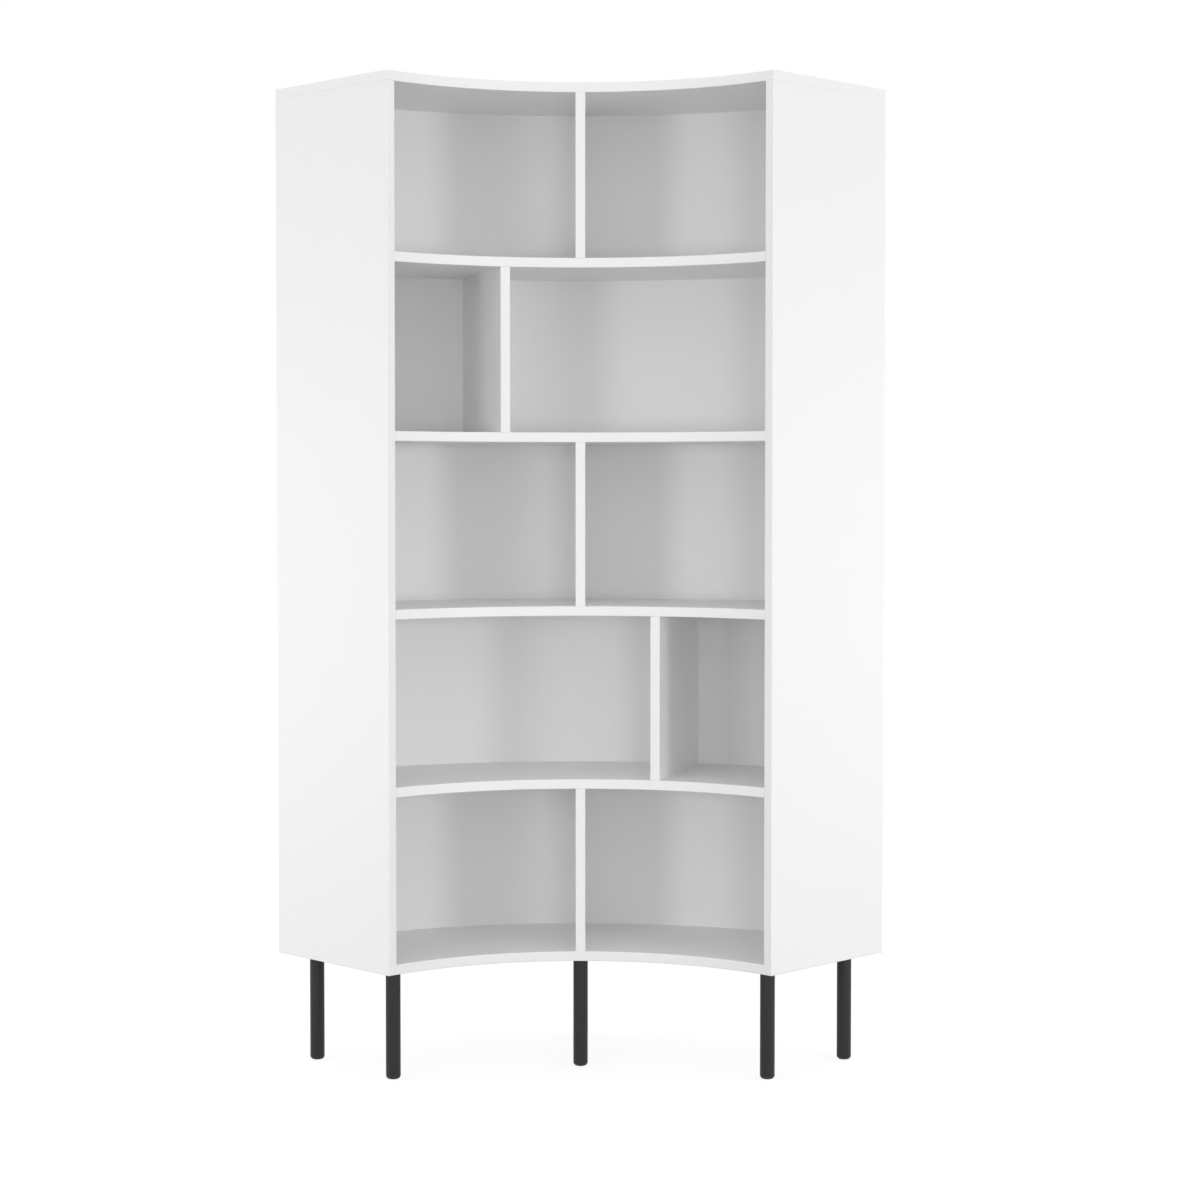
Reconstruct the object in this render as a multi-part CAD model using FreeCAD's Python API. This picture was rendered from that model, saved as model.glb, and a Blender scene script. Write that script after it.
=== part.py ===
import FreeCAD, Part
import math
import os

from FreeCAD import Vector

# Corner shelf unit: a quarter ring of shelves with a hollow front, on six round legs.
# Millimetres, +Z up. The floor is at zero, the unit's back is towards +Y, and X is centred.
# Plan sizes are polar, about the upright line that the front and back arcs share.

# Carcass
wall_reach = 800.0  # corner of the room to either end of the unit, which is the radius of the rear edge
depth = 318.0  # front edge to rear edge, square to the wall
half_angle = 45.0  # degrees from the middle of the unit to the outer face of a side panel
board = 18.0  # thickness of every board
tiers = 5
tier_height = 300.0  # clear height between two boards
aside_angle = 16.4  # degrees from the middle to a divider that stands aside
divider_turns = (0, -1, 0, 1, 0)  # each tier's divider, from the top: left, middle or right
edge_ease = 0.8  # chamfer on the outer boards and along the uprights' front edges

# Back sheets
sheet = 3.0  # thickness
sheet_inset = 22.0  # rear edge of the boards to the rear of a sheet
groove_depth = 6.0
groove_play = 0.2  # room on each side of a sheet in its groove
sheet_end_play = 0.4  # room at the ends and over the topmost sheet
rear_play = 0.3  # room between a sheet and the boards in front of it

# Loose tongues, one in every joint between two boards
tongue_width = 22.0  # half in each board
tongue_thickness = 4.0
tongue_front_setback = 70.0  # front edge to the tongue, so that it never shows
tongue_rear_setback = 45.0  # tongue to the back sheet
slot_slack = 0.5  # room at a tongue's ends and under its edges
slot_play = 0.1  # room on each face of a tongue

# Legs and feet
leg_height = 200.0  # floor to the underside of the carcass
leg_diameter = 26.9
leg_wall = 1.5
leg_plate = 6.0  # thickness of the closed upper end
leg_side_inset = 50.0  # outer face of a side panel to the middle of a leg
leg_front_inset = 50.0  # front edge to the middle of the outer front legs
leg_middle_inset = 30.0  # front edge to the middle of the front middle leg
leg_rear_inset = 50.0
foot_height = 7.0  # what shows of a foot under its leg
foot_taper = 4.0  # how far its lower edge draws in
foot_plug = 14.0  # length of the plug inside the leg
foot_play = 0.15  # room round the plug

# Leg fixings
stud_diameter = 8.0
stud_play = 0.1  # room round a stud in its insert
stud_end_room = 1.0  # a stud's end to the inner end of its insert
insert_diameter = 12.0
insert_length = 13.0
insert_play = 0.1  # room round an insert in its hole
insert_end_room = 0.5  # inner end of an insert to the end of its hole

# Derived radii and levels
front_radius = wall_reach - depth
sheet_outer = wall_reach - sheet_inset
sheet_inner = sheet_outer - sheet
shelf_rear = sheet_inner - rear_play
front_reach = (front_radius + edge_ease) * math.cos(math.radians(half_angle))  # to the eased front corners
axis_y = -(front_reach + wall_reach) / 2
bottom_top = leg_height + board
pitch = tier_height + board
top_under = bottom_top + tiers * pitch - board
tongue_front = front_radius + tongue_front_setback
tongue_rear = sheet_inner - tongue_rear_setback
up = Vector(0, 0, 1)


def outward(angle):
    """Unit vector away from the arcs' line, at an angle in degrees from the middle, right positive."""
    return Vector(math.sin(math.radians(angle)), math.cos(math.radians(angle)), 0)


def across(angle):
    """Unit vector square to outward, towards larger angles."""
    return Vector(math.cos(math.radians(angle)), -math.sin(math.radians(angle)), 0)


def polar(radius, angle, z):
    """Point at a radius, an angle from the middle and a height."""
    return outward(angle) * radius + up * z


def outline(points):
    """Flat face with straight sides through the points."""
    return Part.Face(Part.makePolygon(points + points[:1]))


def ring(inner, outer, setback, low, high):
    """A piece between two radii, whose flat ends are set back from the side panels' outer faces."""
    inner_end = half_angle - math.degrees(math.asin(setback / inner))
    outer_end = half_angle - math.degrees(math.asin(setback / outer))
    front_left = polar(inner, -inner_end, low)
    front_right = polar(inner, inner_end, low)
    rear_left = polar(outer, -outer_end, low)
    rear_right = polar(outer, outer_end, low)
    edges = [
        Part.Arc(front_left, polar(inner, 0, low), front_right).toShape(),
        Part.LineSegment(front_right, rear_right).toShape(),
        Part.Arc(rear_right, polar(outer, 0, low), rear_left).toShape(),
        Part.LineSegment(rear_left, front_left).toShape(),
    ]
    return Part.Face(Part.Wire(edges)).extrude(up * (high - low))


def upright(angle, turn, profile, low, high):
    """A board drawn in plan as (distance outward, distance across) points and extruded upwards."""
    points = [outward(angle) * out + across(angle) * (turn * side) + up * low for out, side in profile]
    return outline(points).extrude(up * (high - low))


def turned(profile, angle, radius):
    """A round piece on an upright line: (radius, height) points, or arcs between them, revolved."""
    face = Part.Face(Part.Wire(profile))
    solid = face.revolve(Vector(0, 0, 0), up, 360)
    solid.translate(polar(radius, angle, 0))
    return solid


def path(points):
    """Straight edges from each (radius, height) point to the next."""
    spots = [Vector(r, 0, z) for r, z in points]
    return [Part.LineSegment(a, b).toShape() for a, b in zip(spots, spots[1:])]


# Loose tongues: a seat holds the middle of a tongue on the joint, its length axis and its width axis
def bar(seat, slack, play):
    """A flat bar that lies across a joint, with room added at its edges and on its faces."""
    middle, along, into = seat
    reach = along * ((tongue_rear - tongue_front) / 2 + slack)
    spread = into * (tongue_width / 2 + slack)
    half = along.cross(into) * (tongue_thickness / 2 + play)
    near = middle - half
    corners = [near - reach - spread, near + reach - spread, near + reach + spread, near - reach + spread]
    return outline(corners).extrude(half * 2)


def tongue(seat):
    return bar(seat, 0, 0)


def slot(seat):
    """What the cutter takes from both boards of a joint."""
    return bar(seat, slot_slack, slot_play)


def level(number):
    """Height of the upper face of a shelf, counted from the top, or of the bottom board after the last."""
    return bottom_top + (tiers - number) * pitch


# Boards
def on_rear(edge):
    """True for the rear arcs and the upright edges at their ends."""
    return all(math.hypot(v.X, v.Y) > wall_reach - edge_ease for v in edge.Vertexes)


def capping(low):
    """The top or bottom board, eased along its front and its two ends."""
    solid = ring(front_radius, wall_reach, 0, low, low + board)
    shown = [e for e in solid.Edges if not on_rear(e)]
    return solid.makeChamfer(edge_ease, shown)


def sheet_groove(low):
    """The arc groove that takes a back sheet's edge, stopped inside the side panels."""
    stop = board - groove_depth
    return ring(sheet_inner - groove_play, sheet_outer + groove_play, stop, low, low + groove_depth)


def top_panel():
    """The upper capping board, grooved underneath."""
    return capping(top_under).cut(sheet_groove(top_under))


def bottom_panel():
    """The lower capping board, grooved above and bored underneath for the insert nuts."""
    solid = capping(leg_height).cut(sheet_groove(bottom_top - groove_depth))
    hole = insert_diameter / 2 + insert_play
    sunk = insert_length + insert_end_room
    return solid.cut([Part.makeCylinder(hole, sunk, polar(r, a, leg_height)) for r, a in legs])


def side_panel(turn):
    """A flat board with the back sheets' groove down its inner face."""
    groove_front = math.sqrt(sheet_inner**2 - board**2) - groove_play
    groove_rear = sheet_outer + groove_play
    groove_floor = board - groove_depth
    profile = [
        (front_radius, edge_ease),
        (front_radius + edge_ease, 0),
        (wall_reach - edge_ease, 0),
        (wall_reach, edge_ease),
        (wall_reach, board),
        (groove_rear, board),
        (groove_rear, groove_floor),
        (groove_front, groove_floor),
        (groove_front, board),
        (front_radius + edge_ease, board),
        (front_radius, board - edge_ease),
    ]
    return upright(turn * half_angle, -turn, profile, bottom_top, top_under)


def shelf(number):
    """A shelf between the side panels, in front of the back sheets."""
    high = level(number)
    return ring(front_radius, shelf_rear, board, high - board, high)


def divider_angle(number):
    return aside_angle * divider_turns[number - 1]


def divider(number):
    """A radial board between the boards below and above its tier, square across its front edge."""
    half = board / 2
    rear = math.sqrt(shelf_rear**2 - half**2)
    profile = [
        (front_radius + edge_ease, -half),
        (front_radius, edge_ease - half),
        (front_radius, half - edge_ease),
        (front_radius + edge_ease, half),
        (rear, half),
        (rear, -half),
    ]
    low = level(number)
    return upright(divider_angle(number), 1, profile, low, low + tier_height)


def back_sheet(number):
    """A bent sheet that meets its neighbours behind the middle of the shelves."""
    low = level(number) - board / 2
    high = level(number - 1) - board / 2
    if number == tiers:
        low = bottom_top - groove_depth
    if number == 1:
        high = top_under + groove_depth - sheet_end_play
    stop = board - groove_depth + sheet_end_play
    return ring(sheet_inner, sheet_outer, stop, low, high)


# Joints between boards
def joints():
    """Every board joint: the two boards' names and the seat of its tongue."""
    found = []
    middle = (tongue_front + tongue_rear) / 2
    for turn, side in ((-1, "left_side_panel"), (1, "right_side_panel")):
        angle = turn * half_angle
        inward = across(angle) * -turn
        for cap, z in (("top_panel", top_under), ("bottom_panel", bottom_top)):
            seat = (polar(middle, angle, z) + inward * (board / 2), outward(angle), up)
            found.append((side, cap, seat))
        for number in range(1, tiers):
            seat = (polar(middle, angle, level(number) - board / 2) + inward * board, outward(angle), inward)
            found.append((side, f"shelf_{number}", seat))
    for number in range(1, tiers + 1):
        angle = divider_angle(number)
        low = level(number)
        below = f"shelf_{number}" if number < tiers else "bottom_panel"
        above = f"shelf_{number - 1}" if number > 1 else "top_panel"
        for name, z in ((below, low), (above, low + tier_height)):
            found.append((f"divider_{number}", name, (polar(middle, angle, z), outward(angle), up)))
    return found


# Legs: (radius, angle) of each leg's middle line
def leg_row(outer, middle):
    """The left, middle and right leg of a row, from the radii of its outer legs and its middle one."""
    swing = half_angle - math.degrees(math.asin(leg_side_inset / outer))
    return [(outer, -swing), (middle, 0), (outer, swing)]


rear_row = wall_reach - leg_rear_inset
legs = leg_row(front_radius + leg_front_inset, front_radius + leg_middle_inset) + leg_row(rear_row, rear_row)
leg_names = [f"{row}_{place}" for row in ("front", "rear") for place in ("left", "middle", "right")]
leg_radius = leg_diameter / 2
leg_bore = leg_radius - leg_wall


def leg():
    """A tube closed by a plate at its upper end, with a threaded stud welded on top."""
    stud = stud_diameter / 2
    stud_top = leg_height + insert_length - stud_end_room
    plate_under = leg_height - leg_plate
    return path([
        (0, plate_under),
        (leg_bore, plate_under),
        (leg_bore, foot_height),
        (leg_radius, foot_height),
        (leg_radius, leg_height),
        (stud, leg_height),
        (stud, stud_top),
        (0, stud_top),
        (0, plate_under),
    ])


def foot():
    """A moulded cap with a tapered rim and a plug that fills the leg's end."""
    plug = leg_bore - foot_play
    plug_top = foot_height + foot_plug
    return path([
        (0, 0),
        (leg_radius - foot_taper, 0),
        (leg_radius, foot_height),
        (plug, foot_height),
        (plug, plug_top),
        (0, plug_top),
        (0, 0),
    ])


def insert_nut():
    """A threaded sleeve, flush with the underside of the bottom board."""
    bore = stud_diameter / 2 + stud_play
    radius = insert_diameter / 2
    high = leg_height + insert_length
    return path([(bore, leg_height), (radius, leg_height), (radius, high), (bore, high), (bore, leg_height)])


# Assembly
def assemble():
    """Every node by name, with the boards slotted for their tongues."""
    nodes = {"top_panel": top_panel(), "bottom_panel": bottom_panel()}
    nodes["left_side_panel"] = side_panel(-1)
    nodes["right_side_panel"] = side_panel(1)
    for number in range(1, tiers):
        nodes[f"shelf_{number}"] = shelf(number)
    for number in range(1, tiers + 1):
        nodes[f"divider_{number}"] = divider(number)
    tongues = []
    for first, second, seat in joints():
        nodes[first] = nodes[first].cut(slot(seat))
        nodes[second] = nodes[second].cut(slot(seat))
        tongues.append(tongue(seat))
    nodes["loose_tongues"] = Part.makeCompound(tongues)
    for number in range(1, tiers + 1):
        nodes[f"back_sheet_{number}"] = back_sheet(number)
    for name, (radius, angle) in zip(leg_names, legs):
        nodes[f"{name}_leg"] = turned(leg(), angle, radius)
    nodes["foot_caps"] = Part.makeCompound([turned(foot(), a, r) for r, a in legs])
    nodes["insert_nuts"] = Part.makeCompound([turned(insert_nut(), a, r) for r, a in legs])
    return nodes


os.makedirs("parts", exist_ok=True)
for node, shape in assemble().items():
    shape.translate(Vector(0, axis_y, 0))
    shape.exportStep(f"parts/{node}.step")
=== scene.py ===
import math

import bpy
import numpy as np
from bpy.props import FloatProperty, FloatVectorProperty, IntProperty, PointerProperty
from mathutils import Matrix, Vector


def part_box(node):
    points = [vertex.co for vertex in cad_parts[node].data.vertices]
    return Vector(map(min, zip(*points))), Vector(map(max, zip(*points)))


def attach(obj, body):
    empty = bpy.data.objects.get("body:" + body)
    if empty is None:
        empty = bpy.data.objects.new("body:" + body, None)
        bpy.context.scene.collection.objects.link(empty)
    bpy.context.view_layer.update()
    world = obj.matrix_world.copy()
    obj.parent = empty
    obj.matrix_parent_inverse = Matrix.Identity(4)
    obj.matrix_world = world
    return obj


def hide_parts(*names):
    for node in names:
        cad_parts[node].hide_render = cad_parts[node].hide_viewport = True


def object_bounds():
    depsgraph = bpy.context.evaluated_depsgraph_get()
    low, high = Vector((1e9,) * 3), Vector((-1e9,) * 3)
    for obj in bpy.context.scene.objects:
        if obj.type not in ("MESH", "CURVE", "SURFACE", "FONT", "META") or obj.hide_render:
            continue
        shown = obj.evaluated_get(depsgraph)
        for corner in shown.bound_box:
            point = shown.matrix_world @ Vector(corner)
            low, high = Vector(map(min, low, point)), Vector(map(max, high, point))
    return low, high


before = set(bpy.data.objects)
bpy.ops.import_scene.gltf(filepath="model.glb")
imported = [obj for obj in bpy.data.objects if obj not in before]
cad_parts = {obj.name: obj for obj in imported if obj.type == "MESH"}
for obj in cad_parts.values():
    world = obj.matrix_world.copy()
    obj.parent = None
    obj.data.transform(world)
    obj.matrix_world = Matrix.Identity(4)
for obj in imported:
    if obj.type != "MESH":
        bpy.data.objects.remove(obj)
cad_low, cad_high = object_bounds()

bl_info = {
    "name": "Corner shelf unit",
    "version": (1, 0, 0),
    "blender": (4, 5, 0),
    "location": "3D View > Sidebar > Shelf",
    "description": "Dresses the frame of a concave corner shelf unit: boards, back, legs, fixings, stage",
    "category": "Object",
}

# The frame's one body, its tiers and its legs
BODY = "root"
TIERS = 5
LEGS = [f"{row}_{side}_leg" for row in ("front", "rear") for side in ("left", "middle", "right")]

# The unit spans a quarter circle in plan, half of it on each side of the middle
HALF_ANGLE = math.radians(45)

# Sizes read from the frame, in metres
WALL_REACH = cad_high.x / math.sin(HALF_ANGLE)
AXIS_Y = cad_high.y - WALL_REACH
FRONT_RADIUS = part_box("divider_1")[0].y - AXIS_Y
SHELF_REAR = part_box("shelf_1")[1].y - AXIS_Y
SHEET_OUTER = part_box("back_sheet_1")[1].y - AXIS_Y
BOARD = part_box("top_panel")[1].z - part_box("top_panel")[0].z
BOTTOM_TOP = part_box("bottom_panel")[1].z
TOP_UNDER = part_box("top_panel")[0].z
LEG_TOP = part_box("bottom_panel")[0].z
FOOT_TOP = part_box("front_left_leg")[0].z
STUD_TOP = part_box("front_left_leg")[1].z


# Settings


def linear(code):
    """An sRGB hex colour as linear RGBA: c / 12.92 below the knee, ((c + 0.055) / 1.055) ^ 2.4 above it."""
    srgb = np.array([int(code[i:i + 2], 16) for i in (1, 3, 5)]) / 255
    rgb = np.where(srgb <= 0.04045, srgb / 12.92, ((srgb + 0.055) / 1.055) ** 2.4)
    return (*rgb.tolist(), 1.0)


def colour(name, description, code):
    """A colour setting whose default is an sRGB hex value."""
    return FloatVectorProperty(
        name=name, description=description, default=linear(code), size=4, min=0, max=1, subtype="COLOR"
    )


def length(name, description, metres):
    """A length setting, in metres."""
    return FloatProperty(
        name=name, description=description, default=metres, min=0, precision=4, unit="LENGTH"
    )


def angle(name, description, degrees):
    """An angle setting, whose default is given in degrees."""
    return FloatProperty(
        name=name, description=description, default=math.radians(degrees), subtype="ANGLE"
    )


def lamp_power(name, description, watts):
    """A lamp's power setting, in watts."""
    return FloatProperty(name=name, description=description, default=watts, min=0, unit="POWER")


class ShelfSizes(bpy.types.PropertyGroup):
    """Sizes of the finish and the small fixings, which the frame doesn't hold."""

    arc_steps: IntProperty(
        name="Arc steps", description="Straight steps along each arc of a board", default=160, min=8
    )
    turn_steps: IntProperty(
        name="Turn steps", description="Straight steps round a leg or a foot", default=72, min=8
    )
    edge_round: length("Edge round", "Radius of the sanded and lacquered edges of the boards", 0.0014)
    sheet: length("Back sheet", "Thickness of the bent hardboard back", 0.003)
    sheet_round: length("Sheet edge", "Radius of a back sheet's rear edges, where two sheets meet", 0.001)
    sheet_in_side: length("Back sheet in side", "How deep a back sheet goes into a side panel", 0.0056)
    stud: length("Stud", "Diameter of the threaded stud on top of a leg", 0.008)
    leg_round: length("Leg edge", "Radius of the coated edge at the lower end of a leg", 0.0006)
    foot_round: length("Foot round", "How far a foot's rounded rim draws in at the floor", 0.0065)
    pin_head: length("Pin head", "Diameter of a panel pin's head", 0.0045)
    pin_rise: length("Pin rise", "How far a panel pin's domed head stands out of the back sheet", 0.0008)
    pin_spacing: length("Pin spacing", "Distance between the panel pins along a shelf", 0.1)
    pin_edge: length("Pin edge", "Distance of the panel pins from the edge of a back sheet", 0.0045)


class ShelfFinishes(bpy.types.PropertyGroup):
    """Colours of the finishes."""

    lacquer: colour("Lacquer", "White lacquer on the boards", "#F7F7F7")
    hardboard: colour("Hardboard", "White lacquer on the bent back sheets", "#F4F4F4")
    powder_coat: colour("Powder coat", "Matt black coat of the legs", "#181818")
    foot_plastic: colour("Foot plastic", "Black plastic of the foot caps", "#171717")
    zinc: colour("Zinc", "Zinc plating of the insert nuts and the panel pins", "#C9CCCE")
    plywood: colour("Plywood", "Birch plywood of the loose tongues", "#D8BE93")
    plywood_grain: colour("Plywood grain", "Darker grain lines of the birch plywood", "#B99763")
    floor_shade: colour("Floor shade", "Part of the floor's white that the unit's shadow dims", "#848484")
    floor_bounce: colour("Floor bounce", "Floor as the light that bounces off it", "#A8A8A8")


class ShelfStage(bpy.types.PropertyGroup):
    """Camera, lamps and surroundings."""

    lens: FloatProperty(
        name="Lens", description="Focal length on a 36 mm sensor", default=75.29, unit="CAMERA"
    )
    camera_place: FloatVectorProperty(
        name="Camera place", description="Where the camera stands", default=(0.0172, -4.608, 1.079),
        subtype="TRANSLATION", unit="LENGTH",
    )
    camera_dip: angle("Camera dip", "How far the camera looks down", 1.938)
    camera_turn: angle("Camera turn", "How far the camera looks to the left", -0.016)
    camera_shift: FloatProperty(
        name="Camera shift", description="Upright shift of the lens, in picture widths", default=-0.02
    )
    air: FloatProperty(
        name="Air", description="Strength of the even light from all round", default=0.8, min=0
    )
    floor_glow: FloatProperty(
        name="Floor glow", description="Plain white of the floor as the camera sees it, shadow or not",
        default=0.84, min=0, max=1, subtype="FACTOR",
    )
    left_lamp: lamp_power("Left lamp", "Power of the softbox at the left front", 30.4)
    front_lamp: lamp_power("Front lamp", "Power of the softbox behind the camera", 36)
    right_lamp: lamp_power("Right lamp", "Power of the softbox at the right front", 50)
    left_wash: lamp_power("Left wash", "Power of the large softbox at the left", 13.7)
    right_wash: lamp_power("Right wash", "Power of the large softbox at the right", 10.6)


# Pieces: surfaces as arrays of points and faces

# Corners of a ring board's profile, in ring_board's order
FRONT_CORNERS = (0, 3)
REAR_CORNERS = (1, 2)
PROFILE_CORNERS = 4
# Straight steps in each small round
EDGE_STEPS = 3
LEG_EDGE_STEPS = 4
FOOT_RIM_STEPS = 8
PIN_STEPS = 12
# Angles up a pin's domed head at which its surface has a ring of points
PIN_DOME = np.radians((0, 30, 60))
# Edges that turn by more than this stay hard to the eye
HARD_TURN = math.radians(30)


def ring_board(inner, outer, setback, low, high, steps):
    """A flat or upright board between two arcs: a rectangular profile carried along an arc.

    The profile's corners are (inner, low), (outer, low), (outer, high) and (inner, high).
    At station t, from -1 to 1, a corner at radius r is turned by t (half angle - asin(setback / r))
    about the upright axis, so both ends are planes parallel to the side panels.
    """
    radius = np.array([inner, outer, outer, inner])
    height = np.array([low, low, high, high])
    station = np.linspace(-1, 1, steps + 1)[:, None]
    turn = station * (HALF_ANGLE - np.arcsin(setback / radius))
    across, behind = radius * np.sin(turn), AXIS_Y + radius * np.cos(turn)
    points = np.stack(np.broadcast_arrays(across, behind, height), -1)
    index = np.arange(turn.size).reshape(turn.shape)
    beside = np.roll(index, -1, axis=1)
    around = np.stack([index[:-1], beside[:-1], beside[1:], index[1:]], -1).reshape(-1, 4)
    ends = np.stack([index[0, ::-1], index[-1]])
    return points.reshape(-1, 3), np.concatenate([around, ends]).tolist()


def turned_surface(profile, steps):
    """A profile of (radius r, height h) points turned about an upright axis: (r cos u, r sin u, h).

    The profile runs from low to high, and its first and last points are on the axis,
    where the surface closes in one point each.
    """
    radius, height = np.array(profile).T
    turn = np.linspace(0, 2 * math.pi, steps, endpoint=False)
    r, h = radius[1:-1, None], height[1:-1, None]
    rings = np.stack(np.broadcast_arrays(r * np.cos(turn), r * np.sin(turn), h), -1).reshape(-1, 3)
    points = np.concatenate([[[0, 0, height[0]]], rings, [[0, 0, height[-1]]]])
    index = 1 + np.arange(len(rings)).reshape(-1, steps)
    beside = np.roll(index, -1, axis=1)
    around = np.stack([index[:-1], beside[:-1], beside[1:], index[1:]], -1).reshape(-1, 4)
    lower_end = np.stack([np.zeros_like(index[0]), beside[0], index[0]], -1)
    upper_end = np.stack([np.full_like(index[0], len(points) - 1), index[-1], beside[-1]], -1)
    return points, around.tolist() + lower_end.tolist() + upper_end.tolist()


def repeated(surface, places, axes):
    """The same surface at several places: p = place + x axis 0 + y axis 1 + z axis 2."""
    points, faces = surface
    copies = places[:, None, :] + np.einsum("nk,pkc->pnc", points, axes)
    return copies.reshape(-1, 3), [[i + step * len(points) for i in face]
                                   for step in range(len(places)) for face in faces]


def quarter_round(centre, radius, start, steps):
    """Points on a quarter circle in the (radius, height) plane, from the angle start on."""
    turn = np.radians(np.linspace(start, start + 90, steps + 1))
    return [(centre[0] + radius * math.cos(a), centre[1] + radius * math.sin(a)) for a in turn]


def leg_tube(radius, sizes):
    """A leg on the axis: its eased lower edge, its wall, its closed upper end and the stud on that."""
    edge = sizes.leg_round
    stud = sizes.stud / 2
    lower_edge = quarter_round((radius - edge, FOOT_TOP + edge), edge, -90, LEG_EDGE_STEPS)
    upper_end = [(radius, LEG_TOP), (stud, LEG_TOP), (stud, STUD_TOP), (0, STUD_TOP)]
    return turned_surface([(0, FOOT_TOP), *lower_edge, *upper_end], sizes.turn_steps)


def leg_foot(radius, sizes):
    """A foot on the axis: its rim is a quarter ellipse that runs from the floor out to the leg's radius."""
    draw_in = sizes.foot_round
    rim = [(radius - draw_in + x * draw_in, FOOT_TOP + z * FOOT_TOP)
           for x, z in quarter_round((0, 0), 1, -90, FOOT_RIM_STEPS)]
    return turned_surface([(0, 0), *rim, (0, FOOT_TOP)], sizes.turn_steps)


def panel_pin(sizes):
    """A pin's domed head on the axis: a quarter ellipse turned about it."""
    head = sizes.pin_head / 2
    dome = [(head * math.cos(a), sizes.pin_rise * math.sin(a)) for a in PIN_DOME]
    return turned_surface([(0, 0), *dome, (0, sizes.pin_rise)], PIN_STEPS)


def evenly(count):
    """Middles of so many equal steps from 0 to 1: (i + 1/2) / count."""
    return (np.arange(count) + 0.5) / count


def pin_spots(sizes):
    """Turns about the axis and heights of all pins: rows along each seam, and one up each divider."""
    reach = HALF_ANGLE - math.asin(BOARD / SHEET_OUTER)
    count = round(2 * reach * SHEET_OUTER / sizes.pin_spacing)
    turns = []
    heights = []
    for number in range(1, TIERS):
        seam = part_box(f"back_sheet_{number}")[0].z
        for level in (seam - sizes.pin_edge, seam + sizes.pin_edge):
            turns.append(evenly(count) * 2 * reach - reach)
            heights.append(np.full(count, level))
    for number in range(1, TIERS + 1):
        low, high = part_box(f"divider_{number}")
        rows = round((high.z - low.z) / sizes.pin_spacing)
        middle = (low + high) / 2
        turns.append(np.full(rows, math.atan2(middle.x, middle.y - AXIS_Y)))
        heights.append(low.z + evenly(rows) * (high.z - low.z))
    return np.concatenate(turns), np.concatenate(heights)


def new_piece(name, surface, material, replaced):
    """Makes a mesh piece from points and faces, and ties it to the frame."""
    points, faces = surface
    mesh = bpy.data.meshes.new(name)
    mesh.from_pydata(points.tolist(), [], faces)
    mesh.shade_smooth()
    mesh.materials.append(material)
    piece = bpy.data.objects.new(name, mesh)
    bpy.context.scene.collection.objects.link(piece)
    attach(piece, BODY)
    if replaced:
        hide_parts(*replaced)
    return piece


def crease(piece):
    """Keeps a piece's sharp edges hard to the eye, and leaves its round stretches smooth."""
    piece.data.set_sharp_from_angle(angle=HARD_TURN)


def ease_edges(piece, radius, corners=None):
    """Rounds a ring board's sharp edges, as sanding and lacquer leave them.

    With corners given, only the edges that these corners of the profile run along are rounded.
    """
    crease(piece)
    ease = piece.modifiers.new("eased_edges", "BEVEL")
    ease.width = radius
    ease.segments = EDGE_STEPS
    ease.harden_normals = True
    ease.limit_method = "WEIGHT" if corners else "ANGLE"
    if corners:
        edges = np.empty(len(piece.data.edges) * 2, dtype=np.int32)
        piece.data.edges.foreach_get("vertices", edges)
        corner = edges.reshape(-1, 2) % PROFILE_CORNERS
        along = (corner[:, 0] == corner[:, 1]) & np.isin(corner[:, 0], corners)
        weight = piece.data.attributes.new("bevel_weight_edge", "FLOAT", "EDGE")
        weight.data.foreach_set("value", along.astype(np.float32))


def paint(node, material):
    """Gives a node of the frame a finished material."""
    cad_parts[node].material_slots[0].material = material


# Materials

WHITE = (1.0, 1.0, 1.0, 1.0)


def add_node(tree, kind, sockets=None, **settings):
    """Adds a node. A socket takes a value, or an output of another node to link to."""
    node = tree.nodes.new(kind)
    for name, value in settings.items():
        setattr(node, name, value)
    for socket, value in (sockets or {}).items():
        if isinstance(value, bpy.types.NodeSocket):
            tree.links.new(value, node.inputs[socket])
        else:
            node.inputs[socket].default_value = value
    return node


def new_material(name):
    """An empty material and its node tree."""
    material = bpy.data.materials.new(name)
    material.use_nodes = True
    material.node_tree.nodes.clear()
    return material, material.node_tree


def per_metre(millimetres):
    """Noise scale, on Object coordinates in metres, of features about so many millimetres apart."""
    return 1000 / millimetres


def darker(base, share):
    """A colour with its red, green and blue times a share."""
    return (*(channel * share for channel in base[:3]), 1.0)


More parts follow.
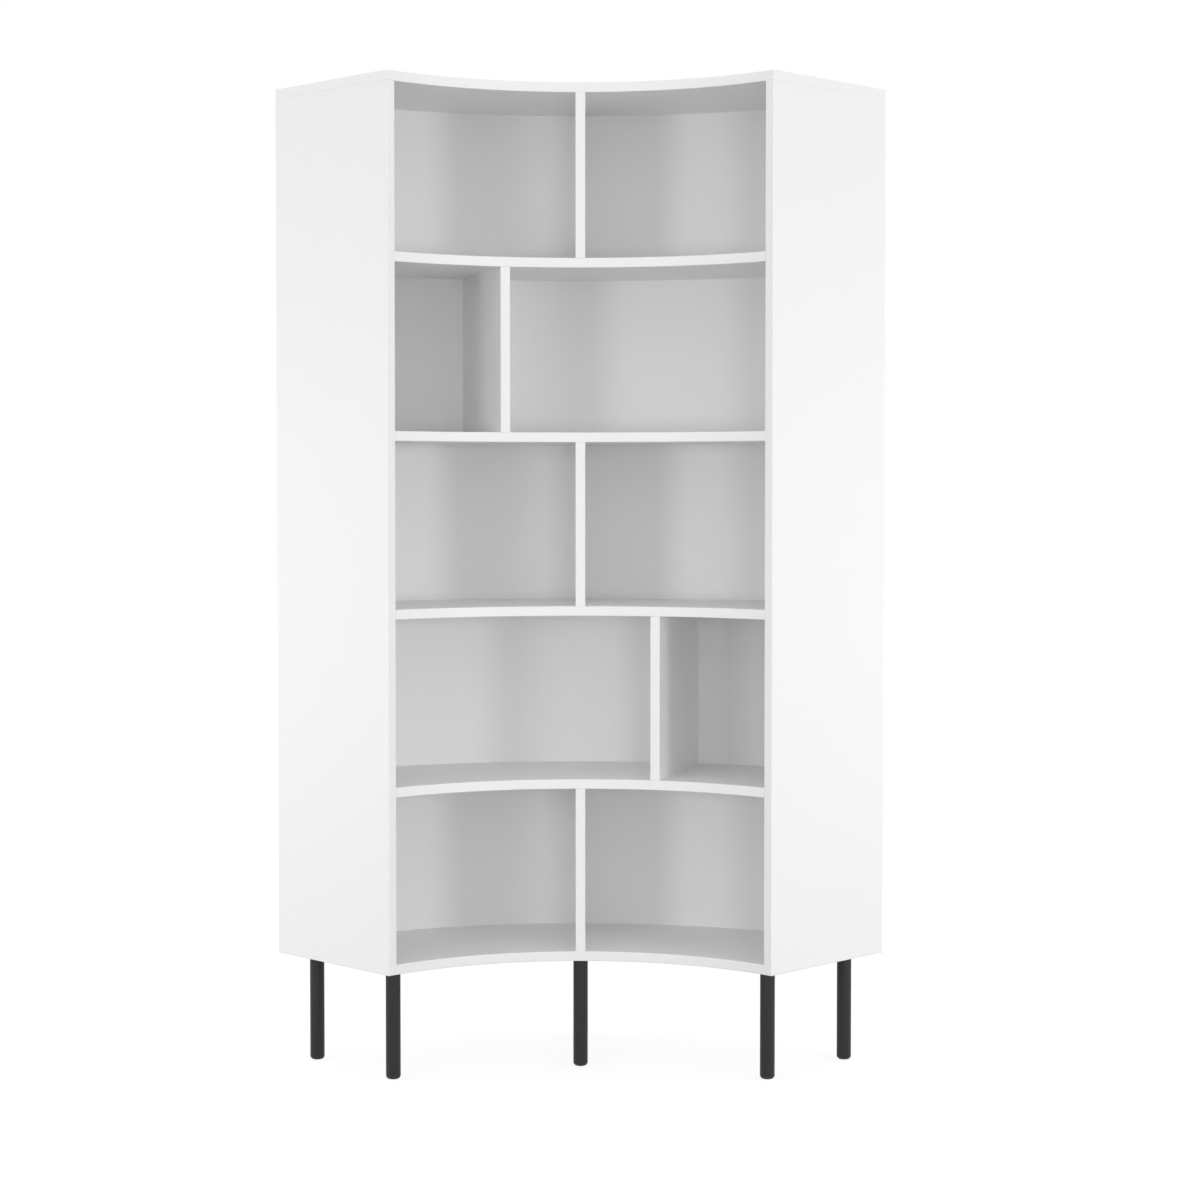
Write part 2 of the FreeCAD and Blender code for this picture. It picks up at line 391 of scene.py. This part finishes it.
def satin_lacquer(name, base, peel_mm, rough):
    """White two-pack lacquer sprayed on a board: even and satin, with a faint orange peel.

    The eye sees a clean white with a soft sheen that clouds very slightly from place to place.
    Real orange peel is 2 to 3 mm across, and is drawn coarser so that it shows at this size.
    """
    cloud_mm = 220
    cloud_shade = 0.985
    cloud_sheen = 0.04
    material, tree = new_material(name)
    place = add_node(tree, "ShaderNodeTexCoord").outputs["Object"]
    cloud = add_node(
        tree, "ShaderNodeTexNoise", {"Vector": place, "Scale": per_metre(cloud_mm), "Detail": 3.0}
    )
    peel = add_node(
        tree, "ShaderNodeTexNoise", {"Vector": place, "Scale": per_metre(peel_mm), "Detail": 1.0}
    )
    tint = add_node(
        tree, "ShaderNodeMix",
        {"Factor": cloud.outputs["Fac"], "A": darker(base, cloud_shade), "B": base},
        data_type="RGBA",
    )
    sheen = add_node(
        tree, "ShaderNodeMapRange",
        {"Value": cloud.outputs["Fac"], "To Min": rough - cloud_sheen, "To Max": rough + cloud_sheen},
    )
    bump = add_node(
        tree, "ShaderNodeBump", {"Height": peel.outputs["Fac"], "Strength": 0.15, "Distance": 0.0001}
    )
    shader = add_node(
        tree, "ShaderNodeBsdfPrincipled",
        {
            "Base Color": tint.outputs["Result"],
            "Roughness": sheen.outputs["Result"],
            "Normal": bump.outputs["Normal"],
        },
    )
    add_node(tree, "ShaderNodeOutputMaterial", {"Surface": shader.outputs["BSDF"]})
    return material


def powder_coat(base):
    """Black polyester powder baked on steel tube: matt, with a fine even grain.

    The eye sees a soft black with dull, broken highlights down the tube. The grain is about
    0.7 mm, and is drawn at 2 mm so that it shows at this size.
    """
    grain_mm = 2
    grain_shade = 0.85
    material, tree = new_material("powder_coated_steel")
    place = add_node(tree, "ShaderNodeTexCoord").outputs["Object"]
    grain = add_node(
        tree, "ShaderNodeTexNoise", {"Vector": place, "Scale": per_metre(grain_mm), "Detail": 2.0}
    )
    tint = add_node(
        tree, "ShaderNodeMix",
        {"Factor": grain.outputs["Fac"], "A": darker(base, grain_shade), "B": base},
        data_type="RGBA",
    )
    bump = add_node(
        tree, "ShaderNodeBump", {"Height": grain.outputs["Fac"], "Strength": 0.25, "Distance": 0.0003}
    )
    shader = add_node(
        tree, "ShaderNodeBsdfPrincipled",
        {
            "Base Color": tint.outputs["Result"],
            "Roughness": 0.5,
            "IOR": 1.43,
            "Normal": bump.outputs["Normal"],
        },
    )
    add_node(tree, "ShaderNodeOutputMaterial", {"Surface": shader.outputs["BSDF"]})
    return material


def moulded_plastic(base):
    """Black polyethylene, moulded in a spark-eroded tool.

    The eye sees a fine even texture, a little duller than the coat above it. The texture is finer
    than 0.5 mm, and is drawn at 1.5 mm so that it shows at this size.
    """
    texture_mm = 1.5
    material, tree = new_material("moulded_polyethylene")
    place = add_node(tree, "ShaderNodeTexCoord").outputs["Object"]
    texture = add_node(
        tree, "ShaderNodeTexNoise", {"Vector": place, "Scale": per_metre(texture_mm), "Detail": 1.0}
    )
    rough = add_node(
        tree, "ShaderNodeMapRange", {"Value": texture.outputs["Fac"], "To Min": 0.5, "To Max": 0.7}
    )
    bump = add_node(
        tree, "ShaderNodeBump", {"Height": texture.outputs["Fac"], "Strength": 0.2, "Distance": 0.0002}
    )
    shader = add_node(
        tree, "ShaderNodeBsdfPrincipled",
        {
            "Base Color": base,
            "Roughness": rough.outputs["Result"],
            "IOR": 1.51,
            "Normal": bump.outputs["Normal"],
        },
    )
    add_node(tree, "ShaderNodeOutputMaterial", {"Surface": shader.outputs["BSDF"]})
    return material


def zinc_plate(base):
    """Bright zinc plating on steel: a pale metal with slightly uneven, cloudy gloss."""
    cloud_mm = 4
    material, tree = new_material("zinc_plated_steel")
    place = add_node(tree, "ShaderNodeTexCoord").outputs["Object"]
    cloud = add_node(
        tree, "ShaderNodeTexNoise", {"Vector": place, "Scale": per_metre(cloud_mm), "Detail": 2.0}
    )
    rough = add_node(
        tree, "ShaderNodeMapRange", {"Value": cloud.outputs["Fac"], "To Min": 0.28, "To Max": 0.42}
    )
    shader = add_node(
        tree, "ShaderNodeBsdfPrincipled",
        {"Base Color": base, "Metallic": 1.0, "Roughness": rough.outputs["Result"]},
    )
    add_node(tree, "ShaderNodeOutputMaterial", {"Surface": shader.outputs["BSDF"]})
    return material


def birch_plywood(base, grain):
    """Sanded birch plywood: pale, dull wood with fine grain lines about 1 mm apart along the depth."""
    grain_mm = 1
    stretch = (1.0, 0.08, 1.0)
    material, tree = new_material("birch_plywood")
    place = add_node(tree, "ShaderNodeTexCoord").outputs["Object"]
    along = add_node(tree, "ShaderNodeMapping", {"Vector": place, "Scale": stretch})
    lines = add_node(
        tree, "ShaderNodeTexNoise",
        {"Vector": along.outputs["Vector"], "Scale": per_metre(grain_mm), "Detail": 3.0},
    )
    tint = add_node(
        tree, "ShaderNodeMix", {"Factor": lines.outputs["Fac"], "A": base, "B": grain}, data_type="RGBA"
    )
    shader = add_node(
        tree, "ShaderNodeBsdfPrincipled", {"Base Color": tint.outputs["Result"], "Roughness": 0.65}
    )
    add_node(tree, "ShaderNodeOutputMaterial", {"Surface": shader.outputs["BSDF"]})
    return material


def seen_ray(tree):
    """1 on what the camera sees, straight, mirrored or through glass, and 0 on the rest."""
    path = add_node(tree, "ShaderNodeLightPath")
    seen = path.outputs["Is Camera Ray"]
    for ray in ("Is Glossy Ray", "Is Transmission Ray"):
        either = add_node(tree, "ShaderNodeMath", {0: seen, 1: path.outputs[ray]}, operation="MAXIMUM")
        seen = either.outputs[0]
    return seen


def studio_floor(shade_colour, bounce_colour, glow):
    """A plain floor. The camera sees white with the unit's soft shadow in it, and less light bounces up."""
    material, tree = new_material("painted_floor")
    shade = add_node(tree, "ShaderNodeBsdfDiffuse", {"Color": shade_colour})
    white = add_node(tree, "ShaderNodeEmission", {"Color": WHITE, "Strength": glow})
    shown = add_node(tree, "ShaderNodeAddShader", {0: shade.outputs["BSDF"], 1: white.outputs["Emission"]})
    bounce = add_node(tree, "ShaderNodeBsdfDiffuse", {"Color": bounce_colour})
    mixed = add_node(
        tree, "ShaderNodeMixShader",
        {0: seen_ray(tree), 1: bounce.outputs["BSDF"], 2: shown.outputs["Shader"]},
    )
    add_node(tree, "ShaderNodeOutputMaterial", {"Surface": mixed.outputs["Shader"]})
    return material


def studio_air(strength):
    """Even white light from all round. What the camera sees of it, straight or mirrored, is plain white."""
    world = bpy.data.worlds.new("studio_air")
    world.use_nodes = True
    tree = world.node_tree
    tree.nodes.clear()
    even = add_node(tree, "ShaderNodeBackground", {"Color": WHITE, "Strength": strength})
    white = add_node(tree, "ShaderNodeBackground", {"Color": WHITE, "Strength": 1.0})
    mixed = add_node(
        tree, "ShaderNodeMixShader",
        {0: seen_ray(tree), 1: even.outputs["Background"], 2: white.outputs["Background"]},
    )
    add_node(tree, "ShaderNodeOutputWorld", {"Surface": mixed.outputs["Shader"]})
    return world


# Stage

FLOOR_HALF = 20.0
# Each softbox: its bearing right of straight ahead in degrees, and the rest in metres
LAMPS = {
    "left_lamp": {"bearing": -31.6, "distance": 5.1, "height": 1.0, "width": 0.9, "depth": 1.0},
    "front_lamp": {"bearing": 8.0, "distance": 6.0, "height": 1.0, "width": 1.0, "depth": 1.0},
    "right_lamp": {"bearing": 46.0, "distance": 6.0, "height": 1.0, "width": 1.0, "depth": 1.0},
    "left_wash": {"bearing": -88.0, "distance": 2.6, "height": 0.8, "width": 3.0, "depth": 1.2},
    "right_wash": {"bearing": 88.0, "distance": 2.6, "height": 0.8, "width": 3.0, "depth": 1.2},
}


def softbox(name, power, bearing, distance, height, width, depth):
    """A softbox that faces the middle of the unit's front."""
    data = bpy.data.lights.new(name, "AREA")
    data.shape = "RECTANGLE"
    data.size = width
    data.size_y = depth
    data.energy = power
    box = bpy.data.objects.new(name, data)
    turn = math.radians(bearing)
    target = Vector((0, AXIS_Y + FRONT_RADIUS, height))
    box.location = target + distance * Vector((math.sin(turn), -math.cos(turn), 0))
    box.rotation_euler = (target - box.location).to_track_quat("-Z", "Y").to_euler()
    box.visible_camera = False
    bpy.context.scene.collection.objects.link(box)


def lay_floor(material):
    """A square floor: the corners (-1 or 1, -1 or 1, 0) times half its width."""
    corners = np.array([(-1, -1, 0), (1, -1, 0), (1, 1, 0), (-1, 1, 0)]) * FLOOR_HALF
    mesh = bpy.data.meshes.new("floor")
    mesh.from_pydata(corners.tolist(), [], [(0, 1, 2, 3)])
    mesh.materials.append(material)
    floor = bpy.data.objects.new("floor", mesh)
    bpy.context.scene.collection.objects.link(floor)


def place_camera(stage):
    """A camera without roll, which looks down a little and has an upright shift of its lens."""
    data = bpy.data.cameras.new("camera")
    data.lens = stage.lens
    data.shift_y = stage.camera_shift
    camera = bpy.data.objects.new("camera", data)
    camera.location = stage.camera_place
    camera.rotation_euler = (math.pi / 2 - stage.camera_dip, 0, stage.camera_turn)
    bpy.context.scene.collection.objects.link(camera)
    bpy.context.scene.camera = camera


class SHELF_OT_stage(bpy.types.Operator):
    """Sets up the floor, the surroundings, the lamps and the camera"""

    bl_idname = "shelf.stage"
    bl_label = "Stage"

    def execute(self, context):
        scene = context.scene
        stage = scene.shelf_stage
        finishes = scene.shelf_finishes
        lay_floor(studio_floor(finishes.floor_shade, finishes.floor_bounce, stage.floor_glow))
        scene.world = studio_air(stage.air)
        scene.view_settings.view_transform = "Standard"
        for name, place in LAMPS.items():
            softbox(name, getattr(stage, name), **place)
        place_camera(stage)
        return {"FINISHED"}


class SHELF_OT_boards(bpy.types.Operator):
    """Makes the top and bottom boards and the shelves, and finishes the side panels and dividers"""

    bl_idname = "shelf.boards"
    bl_label = "Boards"

    def execute(self, context):
        sizes = context.scene.shelf_sizes
        finishes = context.scene.shelf_finishes
        white = satin_lacquer("lacquered_fibreboard", finishes.lacquer, peel_mm=7, rough=0.45)
        for part in ("top", "bottom"):
            low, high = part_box(f"{part}_panel")
            surface = ring_board(FRONT_RADIUS, WALL_REACH, 0, low.z, high.z, sizes.arc_steps)
            board = new_piece(f"{part}_board", surface, white, [f"{part}_panel"])
            ease_edges(board, sizes.edge_round)
        for number in range(1, TIERS):
            low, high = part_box(f"shelf_{number}")
            surface = ring_board(FRONT_RADIUS, SHELF_REAR, BOARD, low.z, high.z, sizes.arc_steps)
            board = new_piece(f"shelf_board_{number}", surface, white, [f"shelf_{number}"])
            ease_edges(board, sizes.edge_round, FRONT_CORNERS)
        for side in ("left", "right"):
            paint(f"{side}_side_panel", white)
        for number in range(1, TIERS + 1):
            paint(f"divider_{number}", white)
        return {"FINISHED"}


class SHELF_OT_back(bpy.types.Operator):
    """Makes the bent back sheets, one per tier"""

    bl_idname = "shelf.back"
    bl_label = "Back sheets"

    def execute(self, context):
        sizes = context.scene.shelf_sizes
        finishes = context.scene.shelf_finishes
        white = satin_lacquer("lacquered_hardboard", finishes.hardboard, peel_mm=9, rough=0.5)
        for number in range(1, TIERS + 1):
            low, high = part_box(f"back_sheet_{number}")
            surface = ring_board(
                SHEET_OUTER - sizes.sheet, SHEET_OUTER, BOARD - sizes.sheet_in_side,
                max(low.z, BOTTOM_TOP), min(high.z, TOP_UNDER), sizes.arc_steps,
            )
            sheet = new_piece(
                f"bent_sheet_{number}", surface, white, [f"back_sheet_{number}"]
            )
            ease_edges(sheet, sizes.sheet_round, REAR_CORNERS)
        return {"FINISHED"}


class SHELF_OT_legs(bpy.types.Operator):
    """Makes the six coated legs and their feet"""

    bl_idname = "shelf.legs"
    bl_label = "Legs and feet"

    def execute(self, context):
        sizes = context.scene.shelf_sizes
        finishes = context.scene.shelf_finishes
        coat = powder_coat(finishes.powder_coat)
        plastic = moulded_plastic(finishes.foot_plastic)
        boxes = [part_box(name) for name in LEGS]
        radius = (boxes[0][1].x - boxes[0][0].x) / 2
        places = np.array([((low.x + high.x) / 2, (low.y + high.y) / 2, 0) for low, high in boxes])
        upright = np.eye(3)[None]
        tube = leg_tube(radius, sizes)
        for name, place in zip(LEGS, places):
            leg = new_piece(
                f"{name}_tube", repeated(tube, place[None], upright), coat, [name]
            )
            crease(leg)
        feet = repeated(leg_foot(radius, sizes), places, np.repeat(upright, len(places), axis=0))
        crease(new_piece("leg_feet", feet, plastic, ["foot_caps"]))
        return {"FINISHED"}


class SHELF_OT_fixings(bpy.types.Operator):
    """Makes the panel pins in the back, and finishes the insert nuts and loose tongues"""

    bl_idname = "shelf.fixings"
    bl_label = "Fixings"

    def execute(self, context):
        sizes = context.scene.shelf_sizes
        finishes = context.scene.shelf_finishes
        zinc = zinc_plate(finishes.zinc)
        paint("insert_nuts", zinc)
        paint("loose_tongues", birch_plywood(finishes.plywood, finishes.plywood_grain))
        turn, height = pin_spots(sizes)
        sine, cosine, zero = np.sin(turn), np.cos(turn), np.zeros_like(turn)
        places = np.stack([SHEET_OUTER * sine, AXIS_Y + SHEET_OUTER * cosine, height], -1)
        sideways = np.stack([-cosine, sine, zero], -1)
        upwards = np.stack([zero, zero, zero + 1], -1)
        outwards = np.stack([sine, cosine, zero], -1)
        pins = repeated(panel_pin(sizes), places, np.stack([sideways, upwards, outwards], 1))
        crease(new_piece("panel_pins", pins, zinc, []))
        return {"FINISHED"}


class SHELF_PT_panel(bpy.types.Panel):
    """Sizes, finishes and pieces of the corner shelf unit"""

    bl_idname = "SHELF_PT_panel"
    bl_label = "Corner shelf unit"
    bl_space_type = "VIEW_3D"
    bl_region_type = "UI"
    bl_category = "Shelf"

    def draw(self, context):
        for group in (context.scene.shelf_sizes, context.scene.shelf_finishes, context.scene.shelf_stage):
            for name in group.__annotations__:
                self.layout.prop(group, name)
        for step in STEPS:
            self.layout.operator(step.bl_idname)


STEPS = (SHELF_OT_stage, SHELF_OT_boards, SHELF_OT_back, SHELF_OT_legs, SHELF_OT_fixings)
GROUPS = {"shelf_sizes": ShelfSizes, "shelf_finishes": ShelfFinishes, "shelf_stage": ShelfStage}


def register():
    """Registers the classes and puts the settings on the scene."""
    for kind in (*GROUPS.values(), *STEPS, SHELF_PT_panel):
        bpy.utils.register_class(kind)
    for name, kind in GROUPS.items():
        setattr(bpy.types.Scene, name, PointerProperty(type=kind))


def unregister():
    """Takes the settings and the classes away again."""
    for name in GROUPS:
        delattr(bpy.types.Scene, name)
    for kind in (SHELF_PT_panel, *reversed(STEPS), *GROUPS.values()):
        bpy.utils.unregister_class(kind)


def main():
    """Makes the stage and every piece."""
    register()
    bpy.ops.shelf.stage()
    bpy.ops.shelf.boards()
    bpy.ops.shelf.back()
    bpy.ops.shelf.legs()
    bpy.ops.shelf.fixings()


if __name__ == "__main__":
    main()
